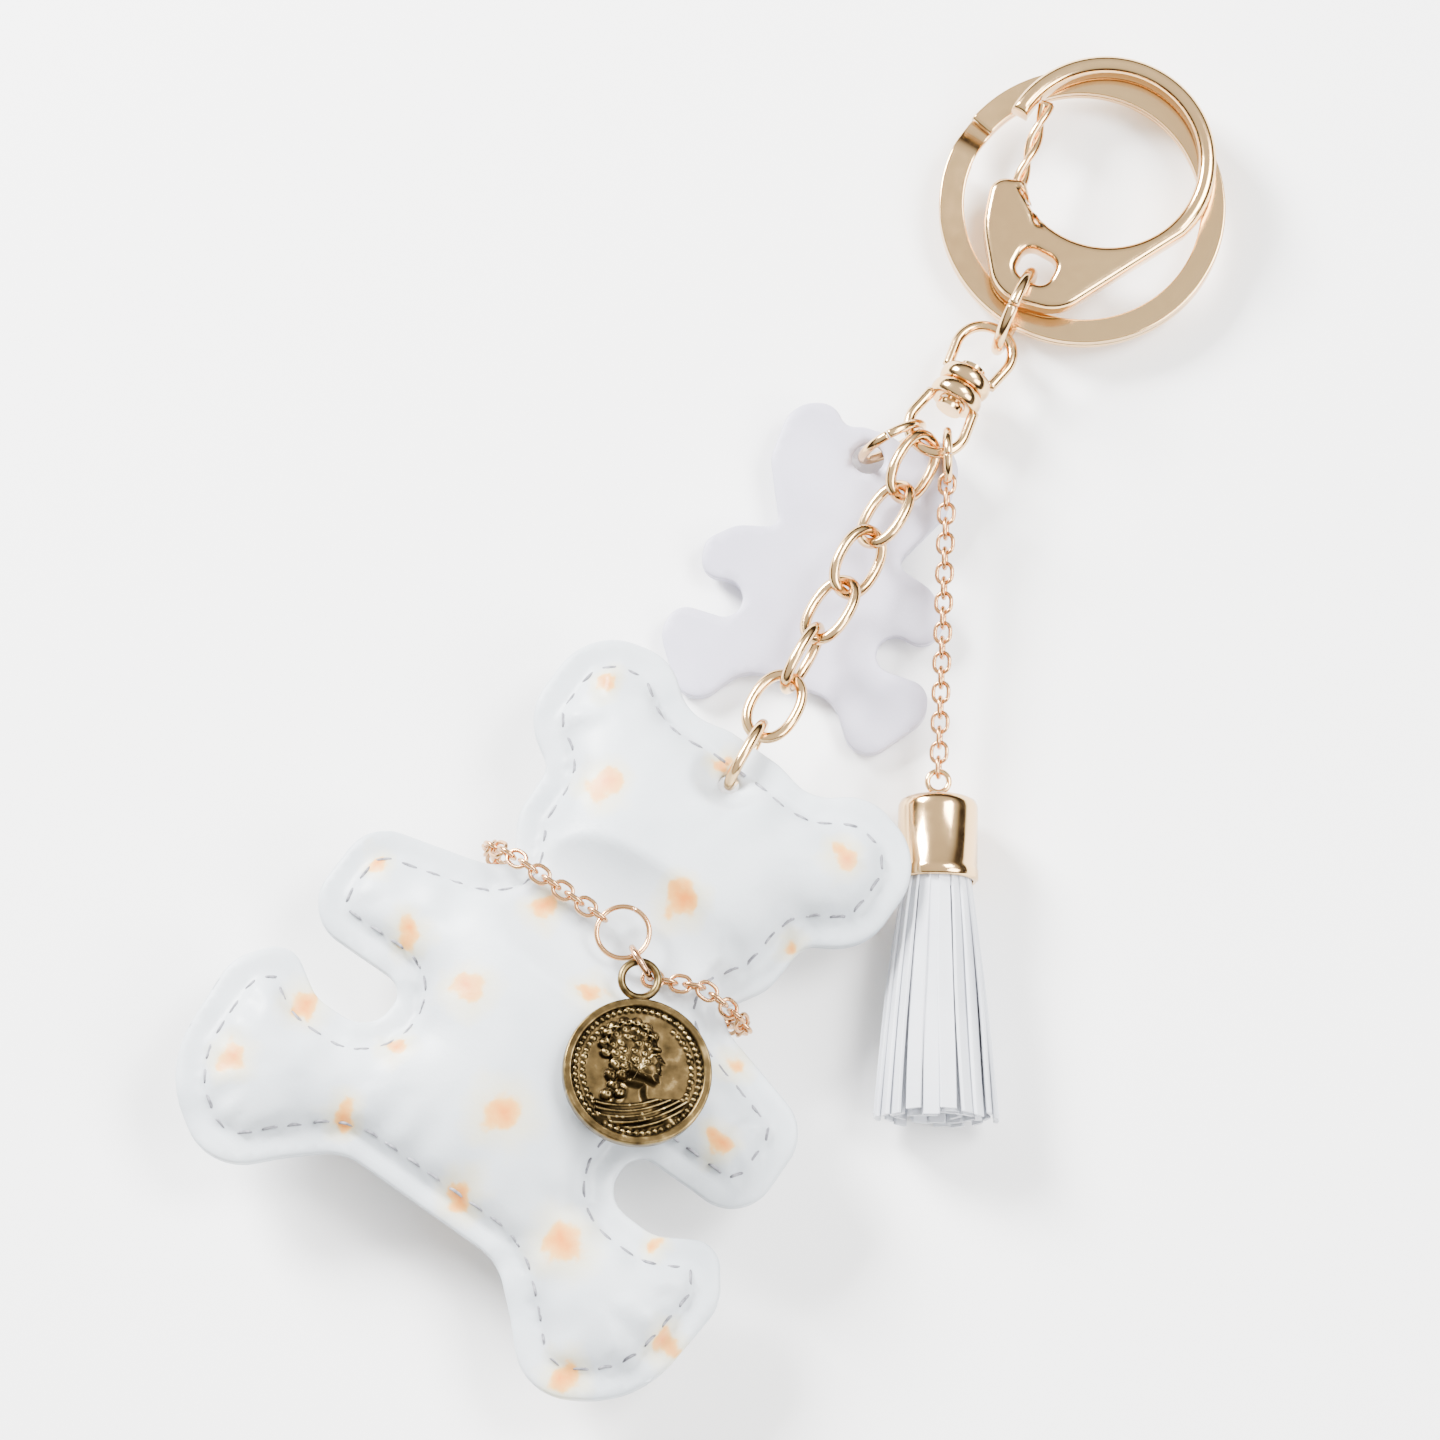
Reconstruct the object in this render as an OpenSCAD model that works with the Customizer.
// Bear keychain: snap hook, split ring, swivel, cable chain, padded bear with
// necklace and coin, flat bear tag, and a tassel on a fine chain.
// It lies on a table. Origin: axis of the split ring, on the table. Millimetres, +Z up.

/* [Key ring] */
// Outer diameter of the split ring
ring_od = 30; // [28:0.5:32]
// Width of its flat band
ring_band = 2.6; // [2.2:0.1:2.8]
// Thickness of one of its two turns
ring_turn = 0.9; // [0.8:0.05:0.9]

/* [Snap hook] */
// Radius of the round eye of the hook
eye_r = 9.6; // [9.2:0.1:9.8]
// Thickness of the casting
hook_t = 3; // [2.6:0.1:3]
// Wire diameter of the gate
gate_wire = 0.85; // [0.7:0.05:0.85]
// Bar between the hook's back edge and its D-shaped hole
hook_bar = 1.4; // [1.2:0.1:1.5]

/* [Chain] */
// Outer length of a chain link
link_len = 8.35; // [8.3:0.05:8.4]
// Outer width of a chain link
link_w = 5.9; // [5.4:0.1:6]
// Wire diameter of a chain link
link_wire = 1.15; // [1.0:0.05:1.15]

/* [Fine chain] */
// Outer length of a fine link
fine_len = 2.62; // [2.6:0.01:2.64]
// Outer width of a fine link
fine_w = 2.1; // [2.0:0.05:2.1]
// Wire diameter of a fine link
fine_wire = 0.45; // [0.4:0.01:0.45]

/* [Bear] */
// Height of the bear's seam above the table
seam_z = 8.2; // [8.1:0.1:8.3]
// Thickness of one leatherette cover
cover_t = 0.8; // [0.6:0.1:0.8]
// Distance of the stitching from the edge
stitch_in = 3; // [2.6:0.1:3.2]
// Distance from one stitch to the next
stitch_pitch = 2.35; // [2:0.05:2.8]

/* [Coin] */
// Diameter of the coin charm
coin_d = 15; // [14:0.5:15]
// Thickness of the coin charm
coin_t = 1.6; // [1.4:0.1:1.6]

/* [Tag] */
// Thickness of one ply of the flat tag
ply_t = 0.8; // [0.6:0.1:0.8]

/* [Tassel] */
// Diameter of the metal cap
cap_d = 8.4; // [8:0.1:8.4]
// Length of the metal cap
cap_len = 8.8; // [8:0.2:9]
// Length of the fringe below the cap
fringe_len = 25; // [22:0.5:26]
// Width of the fringe at its end
fringe_w = 13.2; // [12:0.2:13.2]

/* [Hidden] */
LINKS = 7;
SEGMENTS = 5;
$fn = 48;
gap = 0.1;          // play between two hooked wires
fine_gap = 0.16;    // the same for the fine chain
eps = 0.01;

// ---- split ring and hook ----
ring_z = 1.7;                                 // underside of the split ring
hook_z = ring_z + 2 * ring_turn + gap + 0.15; // underside of the hook
hook_mid = hook_z + hook_t / 2;
eye_pos = [2.5, 4.2];                         // centre of the hook's eye
band_r = eye_r + 1.8;                         // outside of the hook's band
pivot = [-7.9, -1.9];                         // where the gate turns
gate_tip = [-3.7, 10.5];                      // where its free end rests on the nose
coil_r = 0.55 + gate_wire / 2;
coil_z = gate_wire / 2 + 0.04;

// ---- upper jump ring and swivel ----
upper_ring_od = 10;
upper_ring_wire = 1.2;
upper_ring_pos = [-7.3, -12.0, upper_ring_od / 2];
upper_ring_yaw = 65;
swivel_len = 17;
swivel_w = 7.15;
swivel_wire = 1.15;
swivel_yaw = 239.9;                           // points from the hook to the bear
swivel_dip = -8.5;                            // its lower end lies higher
swivel_top = [-9.0, -13.5, 3.2];              // middle of the wire at its upper end
swivel_run = swivel_len - swivel_wire;
collar_d = 5.6;
collar_len = 1.9;

// ---- chain ----
chain_yaw = 241;
chain_dip = -3.65;
chain_pitch = link_len - 2 * link_wire - gap;
chain_run = (LINKS - 1) * chain_pitch + link_len - link_wire;
chain_rolls = [-45, 40, -38, 35, -80, 5, 90]; // how far each link is turned about the chain

// ---- tag and its ring ----
tag_ring_od = 8;
tag_ring_wire = 1;
tag_ring_yaw = 28.2;
tag_ring_pos = [-20.08, -25.96, 4.48];
tag_yaw = 71;
tag_hole_z = 2.35;                               // middle of the tag at its hole
tag_hole_r = 1.7;
tag_tilt = 2.8;                               // the feet of the tag touch the table

// ---- tassel, its ring and its chain ----
tassel_ring_od = 6.2;
tassel_ring_wire = 0.9;
tassel_ring_pos = [-14.44, -28.18, 6.53];
fine_pitch = fine_len - 2 * fine_wire - fine_gap;
fine_count = 20;
fine_yaw = 268;
fine_dip = 4.1;
fine_split = [0, 4, 8, 12, 16, 20];           // first link of each length of chain
tassel_yaw = 269;
eyelet_r = 1.1;                               // middle of the wire of the tassel's eye
eyelet_wire = 0.6;

// ---- bear, necklace and coin ----
bear_yaw = 54.5;                              // direction of the bear's head
bear_hole_r = 1.1;
back_fill = 1.22;                             // the back is padded more than the front
necklace_y = -19.55;
necklace_side = 10.65;                        // where the chain starts to turn round the neck
necklace_rise = 5.2;                          // half height of the loop round the neck
necklace_count = 48;
necklace_from = -2.24;
loose_ring_r = 2.65;
loose_ring_wire = 0.55;
loose_ring_pos = [0.9, necklace_y, necklace_rise];
coin_ring_r = 1.8;
coin_ring_wire = 0.7;
coin_ring_roll = 84;
coin_ring_yaw = -24.2;
bail_r = 1.85;
bail_wire = 0.8;
coin_hang = -56;                            // direction in which the coin hangs, on the bear
coin_rise = 2.6;
coin_roll = -8;

// ---- vectors and outlines ----
function dir(yaw, dip = 0) = [cos(yaw) * cos(dip), sin(yaw) * cos(dip), -sin(dip)];
function unit(v) = v / norm(v);
function cross2(a, b) = a[0] * b[1] - a[1] * b[0];
function mirrored(half) = concat(
    half, [for (i = [len(half) - 1:-1:0]) [-half[i][0], half[i][1], half[i][2]]]);

// An outline is a list of corners [x, y, radius of the corner], clockwise.
function corner_arc(p, c, n) =
    let (u = unit([p[0] - c[0], p[1] - c[1]]),
         v = unit([n[0] - c[0], n[1] - c[1]]),
         half = acos(max(-1, min(1, u * v))) / 2,
         reach = c[2] / tan(half),
         centre = [c[0], c[1]] + unit(u + v) * c[2] / sin(half),
         a = [c[0], c[1]] + u * reach - centre,
         b = [c[0], c[1]] + v * reach - centre,
         sweep = (cross2(a, b) > 0 ? 1 : -1) * acos(max(-1, min(1, unit(a) * unit(b)))),
         steps = max(2, ceil(abs(sweep) / 18)))
    [for (i = [0:steps])
        let (t = sweep * i / steps)
        centre + [a[0] * cos(t) - a[1] * sin(t), a[0] * sin(t) + a[1] * cos(t)]];
function rounded(corners) =
    let (n = len(corners))
    [for (i = [0:n - 1])
        each corner_arc(corners[(i + n - 1) % n], corners[i], corners[(i + 1) % n])];
// The same outline moved inwards: its corners slide along the lines that halve them.
function inset(corners, d) =
    let (n = len(corners))
    [for (i = [0:n - 1])
        let (p = corners[(i + n - 1) % n], c = corners[i], q = corners[(i + 1) % n],
             u = unit([c[0] - p[0], c[1] - p[1]]),
             v = unit([q[0] - c[0], q[1] - c[1]]),
             nu = [u[1], -u[0]], nv = [v[1], -v[0]],
             move = (nu + nv) / (1 + nu * nv) * d,
             inward = cross2(u, v) < 0)
        [c[0] + move[0], c[1] + move[1], max(0.4, c[2] + (inward ? -d : d))]];
function lengths(path) =
    let (n = len(path))
    [for (i = 0, a = 0; i <= n; a = a + norm(path[(i + 1) % n] - path[i % n]), i = i + 1) a];

// Right half of the bear, from the top of its head to between its legs.
bear_half = [
    [3.2, 4.6, 6], [7.5, 3.5, 5], [12.6, 7.4, 5.5], [21.2, 5.2, 6.5], [21.2, -6, 6],
    [15.9, -9.2, 2.2], [15.6, -15, 5], [12.9, -19.5, 0.9], [15.2, -21.1, 2.5],
    [27.4, -24.4, 4.6], [27.6, -36.2, 4.6], [14.2, -36.1, 2.3], [14.3, -42.1, 3.4],
    [21, -42.3, 4.5], [26.6, -38.8, 3], [30.4, -44, 5], [29.4, -57, 11],
    [19.5, -63, 6], [14.2, -57.4, 8], [9.6, -53.3, 6]];
bear_corners = mirrored(bear_half);
bear_seam = rounded(inset(bear_corners, stitch_in));
// Padded places of the bear: [x, y, radius, height above the cover].
bear_pads = [
    [0, -10.8, 12, 5], [0, -33.5, 13, 6], [0, -42, 9.4, 4.9], [0, -21.5, 7, 2.4],
    for (s = [-1, 1]) each [
        [s * 6.4, -9.4, 8.4, 4.3], [s * 13, -1.6, 4.6, 2.2], [s * 8.6, -28.5, 8, 3.4],
        [s * 16, -29.6, 3.7, 2], [s * 21.3, -30.4, 4, 2.1], [s * 9.8, -46.6, 5.4, 3.4],
        [s * 15, -47.5, 4.6, 3.2], [s * 19.6, -49, 6, 4.2], [s * 20.6, -53, 5.4, 3.4],
        [s * 23.8, -46.6, 3.6, 2.2]]];
// The distance from a point to the straight line between two others.
function to_line(p, a, b) =
    let (t = max(0, min(1, (p - a) * (b - a) / ((b - a) * (b - a)))))
    norm(p - a - t * (b - a));
function to_seam(p) =
    let (n = len(bear_seam))
    min([for (i = [0:n - 1]) to_line([p[0], p[1]], bear_seam[i], bear_seam[(i + 1) % n])]);
pads = [for (p = bear_pads)
    let (r = min(p[2], to_seam(p) - 0.45, norm([p[0], p[1]]) - 1.5))
    [p[0], p[1], r, min(p[3], 0.62 * r)]];

// Right half of the tag, measured from its hole.
tag_half = [
    [1.4, 3.0, 3], [3.3, 2.4, 1.6], [5.2, 4.4, 2.4], [9.4, 3.2, 3.6], [9.6, -3.2, 3],
    [6.3, -9.9, 1.1], [10.6, -11.1, 3.6], [13.2, -13.6, 2], [12.6, -17.4, 2],
    [7.4, -16.5, 1.9], [7.4, -20.8, 1.9], [13.6, -20.9, 2.2], [14.6, -24.2, 3.2],
    [9.2, -31.6, 2.6], [4.8, -25.2, 4]];

// ---- places worked out from the ones above ----
swivel_end = swivel_top + dir(swivel_yaw, swivel_dip) * swivel_run;
chain_start = swivel_end
    - dir(chain_yaw, chain_dip) * (swivel_wire / 2 + link_wire / 2 + 2 * gap);
chain_end = chain_start + dir(chain_yaw, chain_dip) * chain_run;
bear_pos = [chain_end[0], chain_end[1]] + [cos(chain_yaw), sin(chain_yaw)] * 0.15;
tag_ring_r = (tag_ring_od - tag_ring_wire) / 2;
tag_reach = sqrt(pow(tag_ring_r, 2) - pow(tag_ring_pos[2] - tag_hole_z, 2));
tag_hole = [tag_ring_pos[0], tag_ring_pos[1]] - [cos(tag_ring_yaw), sin(tag_ring_yaw)] * tag_reach;
fine_start = tassel_ring_pos
    - [0, (tassel_ring_od - 2 * tassel_ring_wire - fine_wire) / 2 - fine_gap, 0.05];
fine_run = (fine_count - 1) * fine_pitch + fine_len - fine_wire;
fine_end = fine_start + dir(fine_yaw, fine_dip) * fine_run;
// The tassel is measured along its length from the top wire of its eye.
tassel_pos = [fine_end[0], fine_end[1], cap_d / 2]
    - [cos(tassel_yaw), sin(tassel_yaw), 0] * (fine_wire / 2 + eyelet_wire / 2 + fine_gap);
cap_from = 2 * eyelet_r + eyelet_wire / 2 + 0.3;
coin_ring_pos = loose_ring_pos + dir(coin_ring_yaw)
    * (loose_ring_r + coin_ring_r - (loose_ring_wire + coin_ring_wire) / 2 - 0.16);
bail_in = coin_ring_r - (coin_ring_wire + bail_wire) / 2 - 0.1;
// the end of the chain that comes from behind the neck to the coin's ring
neck_side = [necklace_side, necklace_y, necklace_rise];
last_drop = 0.7;
last_hold = coin_ring_pos + [0, 0, -last_drop]
    + dir(coin_ring_yaw) * sqrt(pow(coin_ring_r, 2) - pow(last_drop, 2));
last_wire = last_hold
    + unit(last_hold - neck_side) * ((coin_ring_wire + fine_wire) / 2 + 0.2);
front_run = norm(last_wire - neck_side) - (fine_len - fine_wire) / 2;
bail_pos = coin_ring_pos + [cos(coin_ring_yaw - 90) * cos(coin_ring_roll),
    sin(coin_ring_yaw - 90) * cos(coin_ring_roll), sin(coin_ring_roll)] * bail_in;

// ---- shapes that repeat ----
module rod(a, b, d) {
    v = b - a;
    translate(a)
        rotate([0, acos(v[2] / norm(v)), atan2(v[1], v[0])])
            cylinder(h = norm(v), d = d);
}
module wire_ring(r, d, turn = 360) {
    rotate_extrude(angle = turn) translate([r, 0]) circle(d = d);
}
// An oval link in the XY plane, with its length along X.
module oval_link(length, width, d) {
    r = (width - d) / 2;
    x = (length - width) / 2;
    for (s = [0, 1]) rotate([0, 0, 180 * s]) {
        translate([x, 0, 0]) rotate([0, 0, -90]) wire_ring(r, d, 180);
        translate([-x, r, 0]) rotate([0, 90, 0]) cylinder(h = 2 * x, d = d);
    }
}
// A fine link is stamped from flat wire.
module fine_link() {
    translate([0, 0, -fine_wire / 2]) linear_extrude(fine_wire) difference() {
        flat_oval(fine_len, fine_w);
        flat_oval(fine_len - 2 * fine_wire, fine_w - 2 * fine_wire);
    }
}
module flat_oval(length, width) {
    for (s = [-1, 1]) translate([s * (length - width) / 2, 0]) circle(d = width, $fn = 12);
    square([length - width, width * cos(15)], center = true);
}
// Puts +X along a direction on the table, dipping by dip, turned about it by roll.
module along(pos, yaw, dip = 0, roll = 0) {
    translate(pos) rotate([0, dip, yaw]) rotate([roll, 0, 0]) children();
}
module on_bear(z = 0) {
    translate([bear_pos[0], bear_pos[1], seam_z + z]) rotate([0, 0, bear_yaw - 90]) children();
}

// ---- split ring and snap hook ----
module ring_band_sector(from, turn, z) {
    rotate([0, 0, from]) rotate_extrude(angle = turn, $fn = 72)
        translate([ring_od / 2 - ring_band, z]) square([ring_band, ring_turn]);
}
module key_ring() {
    step_at = 149;
    climb = ring_turn + gap;
    color("#f2dcb4") {
        ring_band_sector(step_at + 9, 345, ring_z);
        ring_band_sector(step_at + 6, 345, ring_z + climb);
        rotate([0, 0, step_at])
            translate([(ring_od - ring_band) / 2, 0, ring_z + (ring_turn + climb) / 2])
                rotate([atan(climb / 2.9), 0, 0])
                    cube([ring_band, 3.5, ring_turn], center = true);
    }
}
module hook_plan() {
    back = [-5.9, -9.0] + hook_bar * [-0.506, -0.8625];
    run = [0.8625, -0.506];
    a = back + 3.2 * run;
    b = back - 2.6 * run;
    polygon(rounded([
        [6, -8.4, 3], [a[0], a[1], 3], [b[0], b[1], 2.2], [-10.3, -4, 3],
        [-9.7, 2.1, 1], [-5.5, 2.4, 0.5], [0, -4, 1]]));
}
module hook_body() {
    color("#f0d8ae") translate([0, 0, hook_z]) {
        difference() {
            union() {
                translate([eye_pos[0], eye_pos[1], 0]) rotate([0, 0, -120])
                    rotate_extrude(angle = 270, $fn = 72)
                        translate([eye_r, 0]) polygon(rounded([
                            [0, 0, 0.5], [0, hook_t, 0.5],
                            [band_r - eye_r, hook_t, 0.5], [band_r - eye_r, 0, 0.5]]));
                linear_extrude(hook_t) difference() {
                    hook_plan();
                    translate(eye_pos) circle(r = eye_r, $fn = 96);
                }
            }
            // the hole that takes the jump ring
            translate([0, 0, -1]) linear_extrude(hook_t + 2) polygon(rounded([
                [-7.5, -8.05, 1.2], [-5.9, -5.1, 1.2], [-2.6, -7.0, 1.2], [-4.2, -9.95, 1.2]]));
            // the slot in which the gate turns
            translate([pivot[0], pivot[1], hook_t / 2 - 1]) {
                cylinder(h = 2, r = coil_r + gate_wire / 2 + 0.1);
                for (a = [71, 50, 29]) rotate([0, 0, a])
                    translate([0, -coil_r - gate_wire / 2 - 0.1, 0])
                        cube([6, 2 * coil_r + gate_wire + 0.2, 2]);
            }
        }
        translate([pivot[0], pivot[1], 0.2]) cylinder(h = hook_t - 0.4, d = 0.96);
    }
}
module hook_gate() {
    u = unit(gate_tip - pivot);
    side = [-u[1], u[0]] * coil_r;
    color("#e2bf8e") {
        for (s = [-1, 1]) {
            z = hook_mid + s * coil_z;
            translate([pivot[0], pivot[1], z]) wire_ring(coil_r, gate_wire);
            rod([pivot[0] + s * side[0], pivot[1] + s * side[1], z],
                [gate_tip[0], gate_tip[1], z], gate_wire);
        }
        translate([gate_tip[0], gate_tip[1], hook_mid - coil_z - gate_wire / 2])
            cylinder(h = 2 * coil_z + gate_wire, d = gate_wire);
    }
}

// ---- rings ----
module standing_ring(pos, yaw, od, wire) {
    translate(pos) rotate([0, 0, yaw]) rotate([90, 0, 0])
        rotate([0, 0, 100]) wire_ring((od - wire) / 2, wire, 358);
}
module upper_jump_ring() {
    color("#ecd0a4") standing_ring(upper_ring_pos, upper_ring_yaw, upper_ring_od, upper_ring_wire);
}
module tag_jump_ring() {
    color("#ecd0a4") standing_ring(tag_ring_pos, tag_ring_yaw, tag_ring_od, tag_ring_wire);
}
module tassel_jump_ring() {
    color("#ecd0a4") standing_ring(tassel_ring_pos, 90, tassel_ring_od, tassel_ring_wire);
}

// ---- swivel: two wire eyes, each ending in a collar, on one rivet ----
module swivel_eye() {
    r = (swivel_w - swivel_wire) / 2;
    past = 10;          // the wire bends this far past a half circle on each side
    leg = 2.8;
    collar_at = swivel_run / 2 - gap / 2 - collar_len;
    translate([r, 0, 0]) {
        rotate([0, 0, 90 - past]) wire_ring(r, swivel_wire, 180 + 2 * past);
        for (s = [0, 1]) mirror([0, s, 0]) rotate([0, 0, 90 - past]) translate([r, 0, 0])
            rotate([90, 0, 0]) cylinder(h = leg, d = swivel_wire);
    }
    translate([collar_at, 0, 0]) rotate([0, 90, 0]) difference() {
        cylinder(h = collar_len, d = collar_d);
        translate([0, 0, -1]) cylinder(h = collar_len + 2, d = 1.7);
    }
}
module swivel_upper_eye() {
    color("#efd6ab") along(swivel_top, swivel_yaw, swivel_dip) swivel_eye();
}
module swivel_lower_eye() {
    color("#efd6ab") along(swivel_end, swivel_yaw + 180, -swivel_dip) swivel_eye();
}
module swivel_rivet() {
    reach = collar_len + gap / 2;
    color("#d9b98a") along((swivel_top + swivel_end) / 2, swivel_yaw, swivel_dip)
        rotate([0, 90, 0]) {
            translate([0, 0, -reach - 0.6]) cylinder(h = 2 * reach + 1.2, d = 1.5);
            for (s = [-1, 1]) translate([0, 0, s * (reach + 0.45)])
                cylinder(h = 0.7, d = 2.8, center = true);
        }
}

// ---- cable chain ----
module chain_link(i) {
    at = (i - 1) * chain_pitch + (link_len - link_wire) / 2;
    color("#efd3a6") along(chain_start + dir(chain_yaw, chain_dip) * at,
                           chain_yaw, chain_dip, chain_rolls[i - 1])
        oval_link(link_len, link_w, link_wire);
}

// ---- flat bear tag: two plies of leatherette ----
module tag_ply(z) {
    translate([tag_hole[0], tag_hole[1], tag_hole_z]) rotate([0, 0, tag_yaw - 90])
        rotate([tag_tilt, 0, 0]) translate([0, 0, z]) linear_extrude(ply_t) difference() {
            polygon(rounded(mirrored(tag_half)));
            circle(r = tag_hole_r);
        }
}
module tag_front_ply() {
    color("#f4f1ee") tag_ply(0.02);
}
module tag_back_ply() {
    color("#e9e4df") tag_ply(-ply_t - 0.02);
}

// ---- fine chain and tassel ----
module fine_chain(k) {
    color("#e9c08c") for (i = [fine_split[k - 1]:fine_split[k] - 1])
        along(fine_start + dir(fine_yaw, fine_dip) * (i * fine_pitch + (fine_len - fine_wire) / 2),
              fine_yaw, fine_dip, i % 2 == 0 ? 0 : 90)
            fine_link();
}
module on_tassel() {
    along(tassel_pos, tassel_yaw) children();
}
module tassel_eye() {
    color("#e2bf8e") on_tassel() {
        translate([eyelet_r, 0, 0]) wire_ring(eyelet_r, eyelet_wire);
        rod([2 * eyelet_r, 0, 0], [cap_from + 1.4, 0, 0], eyelet_wire);
        translate([cap_from + 1.05, 0, 0]) rotate([0, 90, 0]) cylinder(h = 0.6, d = 2.4);
    }
}
module tassel_cap() {
    color("#efd6ab") on_tassel() translate([cap_from, 0, 0]) rotate([0, 90, 0]) difference() {
        rotate_extrude() polygon(rounded([
            [0, 0, 0.01], [0, cap_len, 0.01], [cap_d / 2, cap_len, 0.3],
            [cap_d / 2, cap_len - 1.1, 0.05], [cap_d / 2 - 0.1, cap_len - 1.2, 0.05],
            [cap_d / 2 - 0.1, 0, 0.9]]));
        translate([0, 0, -1]) cylinder(h = 3, d = eyelet_wire + 0.2);
        translate([0, 0, 0.9]) cylinder(h = cap_len, d = cap_d - 1);
    }
}
module tassel_fringe() {
    color("#f1efed") on_tassel() intersection() {
        rotate([0, 90, 0]) {
            translate([0, 0, cap_from + 1.9]) cylinder(h = cap_len - 1.9, d = cap_d - 1.2);
            translate([0, 0, cap_from + cap_len - eps])
                cylinder(h = fringe_len, d1 = cap_d - 1.2, d2 = fringe_w);
        }
        translate([0, -20, -cap_d / 2]) cube([80, 40, cap_d]);
    }
}

// ---- padded bear ----
module domes(fill, skin) {
    $fn = 24;
    for (p = pads) {
        h = p[3] * fill;
        r = (p[2] * p[2] + h * h) / (2 * h);
        translate([p[0], p[1], h - r]) sphere(r = r - skin);
    }
}
// The flat middle of the stuffing, which joins its padded places.
module bar(a, b, w) {
    translate(a) rotate([0, 0, atan2(b[1] - a[1], b[0] - a[0])])
        translate([0, -w / 2]) square([norm(b - a), w]);
}
module core_plan(grow) {
    bar([0, -11], [0, -44], 9 + 2 * grow);
    for (s = [-1, 1]) {
        bar([0, -9.5], [s * (13.5 + grow), -1.3], 3 + 2 * grow);
        bar([0, -29], [s * (22 + grow), -30.5], 3 + 2 * grow);
        bar([0, -42], [s * (20.6 + grow), -52], 4 + 2 * grow);
        bar([s * 15, -47.5], [s * (24.4 + grow), -47], 3 + 2 * grow);
        bar([s * 20, -48], [s * 20.8, -54 - grow], 3 + 2 * grow);
    }
}
module above(z) {
    intersection() {
        children();
        translate([-40, -70, z]) cube([80, 90, 20]);
    }
}
// A cover, padded side up, with the seam plane at its underside.
module bear_cover(fill) {
    difference() {
        union() {
            linear_extrude(cover_t) difference() {
                polygon(rounded(bear_corners));
                circle(r = bear_hole_r);
            }
            translate([0, 0, cover_t]) above(-eps) domes(fill, 0);
        }
        translate([0, 0, cover_t]) above(-cover_t - 1) domes(fill, cover_t);
        translate([0, 0, -1]) linear_extrude(1.3) core_plan(0.1);
    }
}
module bear_front_cover() {
    color("#f3f1ef") on_bear(0.02) bear_cover(1);
}
module bear_back_cover() {
    color("#eeeae7") on_bear(-0.02) rotate([0, 180, 0]) bear_cover(back_fill);
}
module bear_stuffing() {
    color("#fbfaf7") on_bear() {
        translate([0, 0, cover_t]) above(-cover_t) domes(1, cover_t + 0.08);
        rotate([0, 180, 0]) translate([0, 0, cover_t]) above(-cover_t) domes(back_fill, cover_t + 0.08);
        translate([0, 0, -0.22]) linear_extrude(0.44) core_plan(0);
    }
}
module bear_thread() {
    ends = lengths(bear_seam);
    n = len(bear_seam);
    count = floor(ends[n] / stitch_pitch);
    color("#8f8f95") on_bear() for (i = [0:count - 1]) {
        s = (i + 0.5) * ends[n] / count;
        k = max([for (j = [0:n - 1]) if (ends[j] <= s) j]);
        a = bear_seam[k];
        b = bear_seam[(k + 1) % n];
        p = a + (b - a) * (s - ends[k]) / (ends[k + 1] - ends[k]);
        for (side = [-1, 1]) translate([p[0], p[1], side * (cover_t + 0.2)])
            rotate([0, 0, atan2(b[1] - a[1], b[0] - a[0])])
                cube([0.55 * stitch_pitch, 0.4, 0.3], center = true);
    }
}

// ---- necklace and coin ----
// A place on the loop round the neck, s along it: [[x, y, z], slope, turn in plan].
function neck_at(s) =
    let (bend = PI * necklace_rise,
         s1 = necklace_side + necklace_from,
         s2 = s1 + bend,
         s3 = s2 + 2 * necklace_side,
         s4 = s3 + bend,
         a = (s - s1) / bend * 180,
         b = (s - s3) / bend * 180,
         out = unit(last_wire - neck_side))
    s < s1 ? [[necklace_from - s, necklace_y, necklace_rise], 180, 0]
    : s < s2 ? [[-necklace_side - necklace_rise * sin(a), necklace_y, necklace_rise * cos(a)],
                180 + a, 0]
    : s < s3 ? [[s - s2 - necklace_side, necklace_y, -necklace_rise], 0, 0]
    : s < s4 ? [[necklace_side + necklace_rise * sin(b), necklace_y, -necklace_rise * cos(b)],
                b, 0]
    : [neck_side + out * (s - s4), 180 - asin(out[2]), atan2(out[1], out[0]) - 180];
module necklace_chain() {
    whole = 3 * necklace_side + necklace_from + 2 * PI * necklace_rise + front_run;
    color("#e6b98a") on_bear() for (i = [0:necklace_count - 1]) {
        p = neck_at(i * whole / (necklace_count - 1));
        translate(p[0]) rotate([0, -p[1], p[2]])
            rotate([i % 2 == 0 ? 90 : 0, 0, 0]) fine_link();
    }
}
module necklace_ring() {
    color("#e8bd90") on_bear() translate(loose_ring_pos) wire_ring(loose_ring_r, loose_ring_wire);
}
module coin_ring() {
    color("#dba877") on_bear() along(coin_ring_pos, coin_ring_yaw, 0, -coin_ring_roll)
        wire_ring(coin_ring_r, coin_ring_wire);
}
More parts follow.
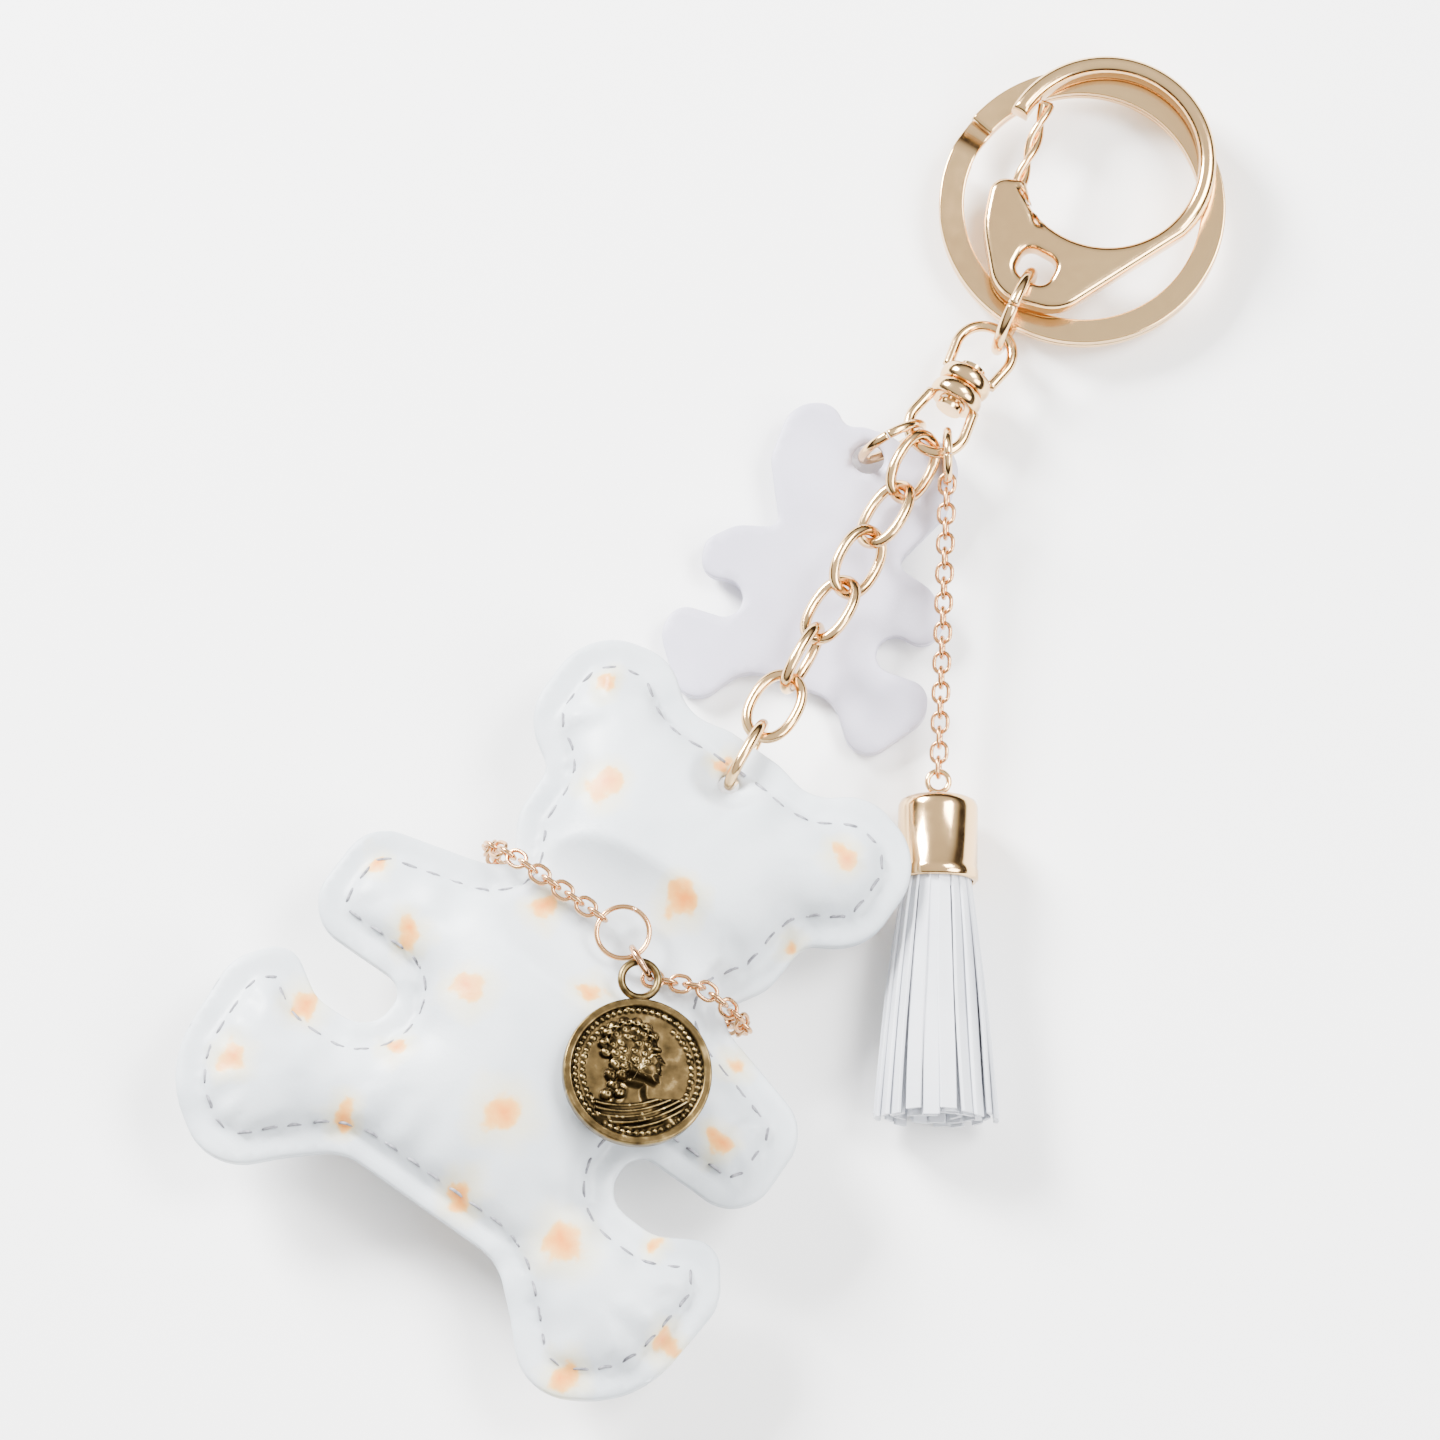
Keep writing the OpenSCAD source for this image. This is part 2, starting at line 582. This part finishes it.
// The coin, face up, its centre at the origin and its bail towards -X.
module coin_disc() {
    r = coin_d / 2;
    difference() {
        cylinder(h = coin_t, d = coin_d, center = true, $fn = 72);
        translate([0, 0, coin_t / 2 - 0.3]) cylinder(h = 1, r = r - 0.8, $fn = 72);
    }
    for (i = [0:35]) rotate([0, 0, i * 10]) translate([r - 1.35, 0, coin_t / 2 - 0.4])
        cylinder(h = 0.4, d = 0.7, $fn = 8);
    // a plain head and shoulders, seen from the side, and a wreath of locks
    rotate([0, 0, 90]) translate([0, 0, coin_t / 2 - 0.35]) {
        linear_extrude(0.6) polygon(rounded([
            [-0.9, 4.9, 1.6], [1.7, 4.4, 1.2], [2.0, 2.6, 0.3], [2.75, 1.35, 0.15],
            [2.05, 1.1, 0.2], [2.25, 0.2, 0.2], [1.9, -0.9, 0.5], [0.6, -0.9, 0.4],
            [0.9, -2.6, 0.8], [3.6, -4.2, 0.8], [2.2, -5.6, 0.6], [-3.4, -5.0, 0.8],
            [-2.2, -2.2, 0.8], [-2.9, 1.4, 1.4]]));
        for (i = [0:8]) rotate([0, 0, 20 + i * 19]) translate([2.35, 0, 0])
            cylinder(h = 0.75, d = 1.3, $fn = 10);
    }
}
module coin() {
    color("#b89b62") on_bear() along(bail_pos, coin_hang, -coin_rise, coin_roll) {
        translate([bail_r, 0, 0]) wire_ring(bail_r, bail_wire);
        translate([2 * bail_r + 0.25 + coin_d / 2, 0, 0]) coin_disc();
    }
}

key_ring();
hook_body();
hook_gate();
upper_jump_ring();
swivel_upper_eye();
swivel_lower_eye();
swivel_rivet();
tag_jump_ring();
tag_front_ply();
tag_back_ply();
tassel_jump_ring();
chain_link(1);  // chain_link_1
chain_link(2);  // chain_link_2
chain_link(3);  // chain_link_3
chain_link(4);  // chain_link_4
chain_link(5);  // chain_link_5
chain_link(6);  // chain_link_6
chain_link(7);  // chain_link_7
fine_chain(1);  // fine_chain_1
fine_chain(2);  // fine_chain_2
fine_chain(3);  // fine_chain_3
fine_chain(4);  // fine_chain_4
fine_chain(5);  // fine_chain_5
tassel_eye();
tassel_cap();
tassel_fringe();
bear_front_cover();
bear_back_cover();
bear_stuffing();
bear_thread();
necklace_chain();
necklace_ring();
coin_ring();
coin();
